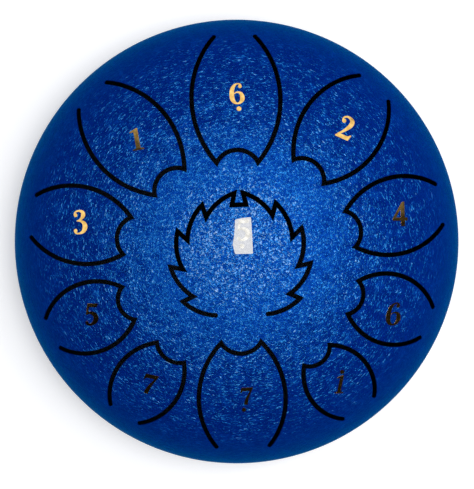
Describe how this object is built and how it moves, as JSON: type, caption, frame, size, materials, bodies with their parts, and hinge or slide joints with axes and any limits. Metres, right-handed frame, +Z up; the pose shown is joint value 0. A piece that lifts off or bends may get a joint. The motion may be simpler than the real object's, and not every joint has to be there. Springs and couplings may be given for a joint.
{
  "type": "steel tongue drum",
  "caption": "Round steel tongue drum of welded domes, with a ring of scooped petal tongues round a leaf-shaped middle tongue, a sound hole underneath and rubber feet.",
  "frame": {"origin": "on the floor plane under the middle of the drum, so the four feet stand in z = 0", "axes": "+Z up, +Y away from the player towards the longest tongue, +X to the player's right"},
  "size_m": [0.2548, 0.2548, 0.15],
  "materials": {
    "drum_paint": "metallic blue hammered paint with fine bright flakes",
    "weld_paint": "dark blue paint over the ground weld bead",
    "rubber": "matt moulded black rubber",
    "zinc_plate": "bright zinc plating"
  },
  "bodies": {
    "drum": {"top_shell": "drum_paint", "bottom_shell": "drum_paint", "seam_weld": "weld_paint", "foot_back_left": "rubber", "foot_back_right": "rubber", "foot_front_left": "rubber", "foot_front_right": "rubber", "foot_screws": "zinc_plate", "foot_washers": "zinc_plate", "damping_washers": "rubber", "foot_nuts": "zinc_plate"},
    "tongue_low_5": {"tongue_low_5": "drum_paint"},
    "tongue_low_6": {"tongue_low_6": "drum_paint"},
    "tongue_low_7": {"tongue_low_7": "drum_paint"},
    "tongue_1": {"tongue_1": "drum_paint"},
    "tongue_2": {"tongue_2": "drum_paint"},
    "tongue_3": {"tongue_3": "drum_paint"},
    "tongue_4": {"tongue_4": "drum_paint"},
    "tongue_5": {"tongue_5": "drum_paint"},
    "tongue_6": {"tongue_6": "drum_paint"},
    "tongue_7": {"tongue_7": "drum_paint"},
    "tongue_high_1": {"tongue_high_1": "drum_paint"}
  },
  "joints": [
    {"name": "flex_low_5", "type": "hinge", "parent": "drum", "child": "tongue_low_5", "pos_m": [0.0008, -0.039, 0.14471], "axis": [-1, 0, 0], "range_deg": [-0.3, 0.3], "stiffness_Nm_per_rad": 100},
    {"name": "flex_low_6", "type": "hinge", "parent": "drum", "child": "tongue_low_6", "pos_m": [0.00153, 0.11402, 0.10935], "axis": [0.9999, -0.0134, 0], "range_deg": [-0.3, 0.3], "stiffness_Nm_per_rad": 200},
    {"name": "flex_low_7", "type": "hinge", "parent": "drum", "child": "tongue_low_7", "pos_m": [0, -0.11364, 0.10956], "axis": [-1, 0, 0], "range_deg": [-0.3, 0.3], "stiffness_Nm_per_rad": 150},
    {"name": "flex_1", "type": "hinge", "parent": "drum", "child": "tongue_1", "pos_m": [-0.07817, 0.08308, 0.10933], "axis": [0.7283, 0.6853, 0], "range_deg": [-0.3, 0.3], "stiffness_Nm_per_rad": 210},
    {"name": "flex_2", "type": "hinge", "parent": "drum", "child": "tongue_2", "pos_m": [0.07821, 0.08305, 0.10932], "axis": [0.728, -0.6856, 0], "range_deg": [-0.3, 0.3], "stiffness_Nm_per_rad": 210},
    {"name": "flex_3", "type": "hinge", "parent": "drum", "child": "tongue_3", "pos_m": [-0.11265, 0.01738, 0.10938], "axis": [0.1525, 0.9883, 0], "range_deg": [-0.3, 0.3], "stiffness_Nm_per_rad": 180},
    {"name": "flex_4", "type": "hinge", "parent": "drum", "child": "tongue_4", "pos_m": [0.11265, 0.01758, 0.10936], "axis": [0.1541, -0.988, 0], "range_deg": [-0.3, 0.3], "stiffness_Nm_per_rad": 190},
    {"name": "flex_5", "type": "hinge", "parent": "drum", "child": "tongue_5", "pos_m": [-0.1037, -0.04788, 0.10925], "axis": [-0.4191, 0.9079, 0], "range_deg": [-0.3, 0.3], "stiffness_Nm_per_rad": 150},
    {"name": "flex_6", "type": "hinge", "parent": "drum", "child": "tongue_6", "pos_m": [0.10377, -0.04773, 0.10924], "axis": [-0.4179, -0.9085, 0], "range_deg": [-0.3, 0.3], "stiffness_Nm_per_rad": 170},
    {"name": "flex_7", "type": "hinge", "parent": "drum", "child": "tongue_7", "pos_m": [-0.06511, -0.09381, 0.10926], "axis": [-0.8215, 0.5702, 0], "range_deg": [-0.3, 0.3], "stiffness_Nm_per_rad": 200},
    {"name": "flex_high_1", "type": "hinge", "parent": "drum", "child": "tongue_high_1", "pos_m": [0.06469, -0.09397, 0.10932], "axis": [-0.8237, -0.567, 0], "range_deg": [-0.3, 0.3], "stiffness_Nm_per_rad": 150}
  ]
}
